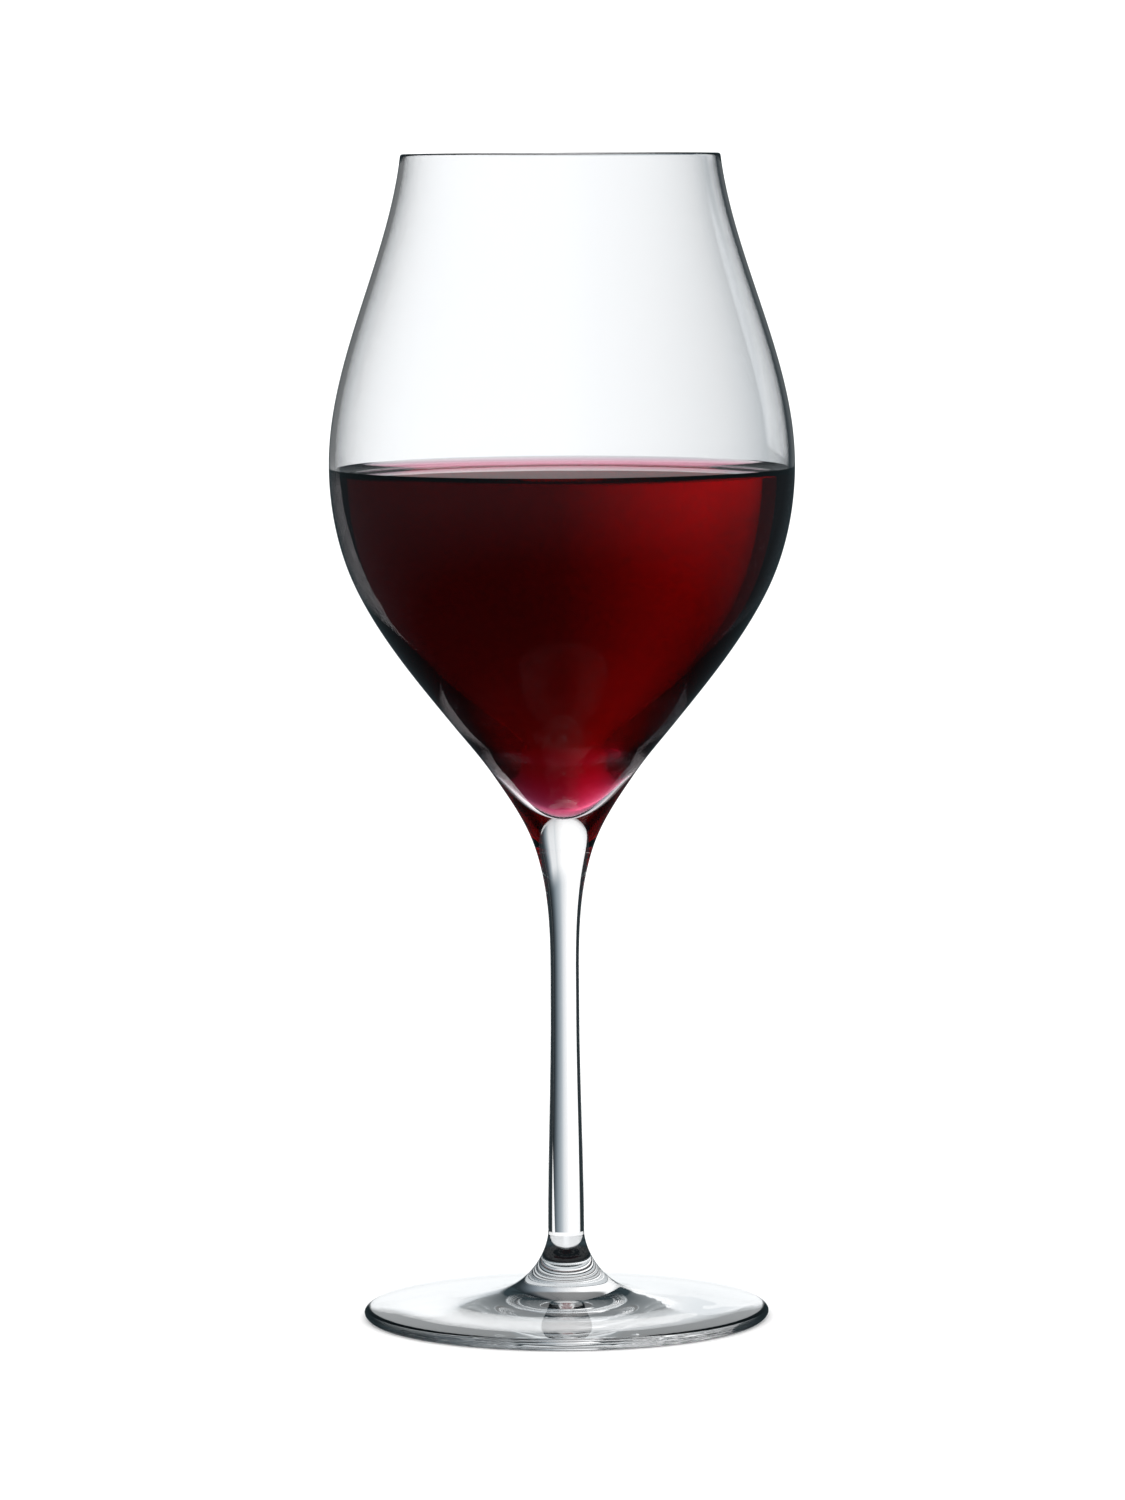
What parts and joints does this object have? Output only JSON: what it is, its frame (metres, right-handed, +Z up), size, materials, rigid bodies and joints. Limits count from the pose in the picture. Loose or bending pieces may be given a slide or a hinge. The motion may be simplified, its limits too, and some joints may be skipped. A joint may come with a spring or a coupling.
{
  "type": "wine glass",
  "caption": "Stemmed tulip wine glass: blown bowl with narrow mouth, drawn stem and pressed disc foot, part filled with red wine.",
  "frame": {"origin": "on the table, under the middle of the foot", "axes": "+Z up along the glass's axis of turning; +X and +Y are free, because the glass is round"},
  "size_m": [0.0916, 0.0916, 0.23],
  "materials": {
    "bowl_glass": "gloss",
    "stem_glass": "gloss",
    "foot_glass": "gloss",
    "wine": "gloss"
  },
  "bodies": {
    "root": {"bowl": "bowl_glass", "stem": "stem_glass", "foot": "foot_glass", "wine": "wine"}
  },
  "joints": []
}
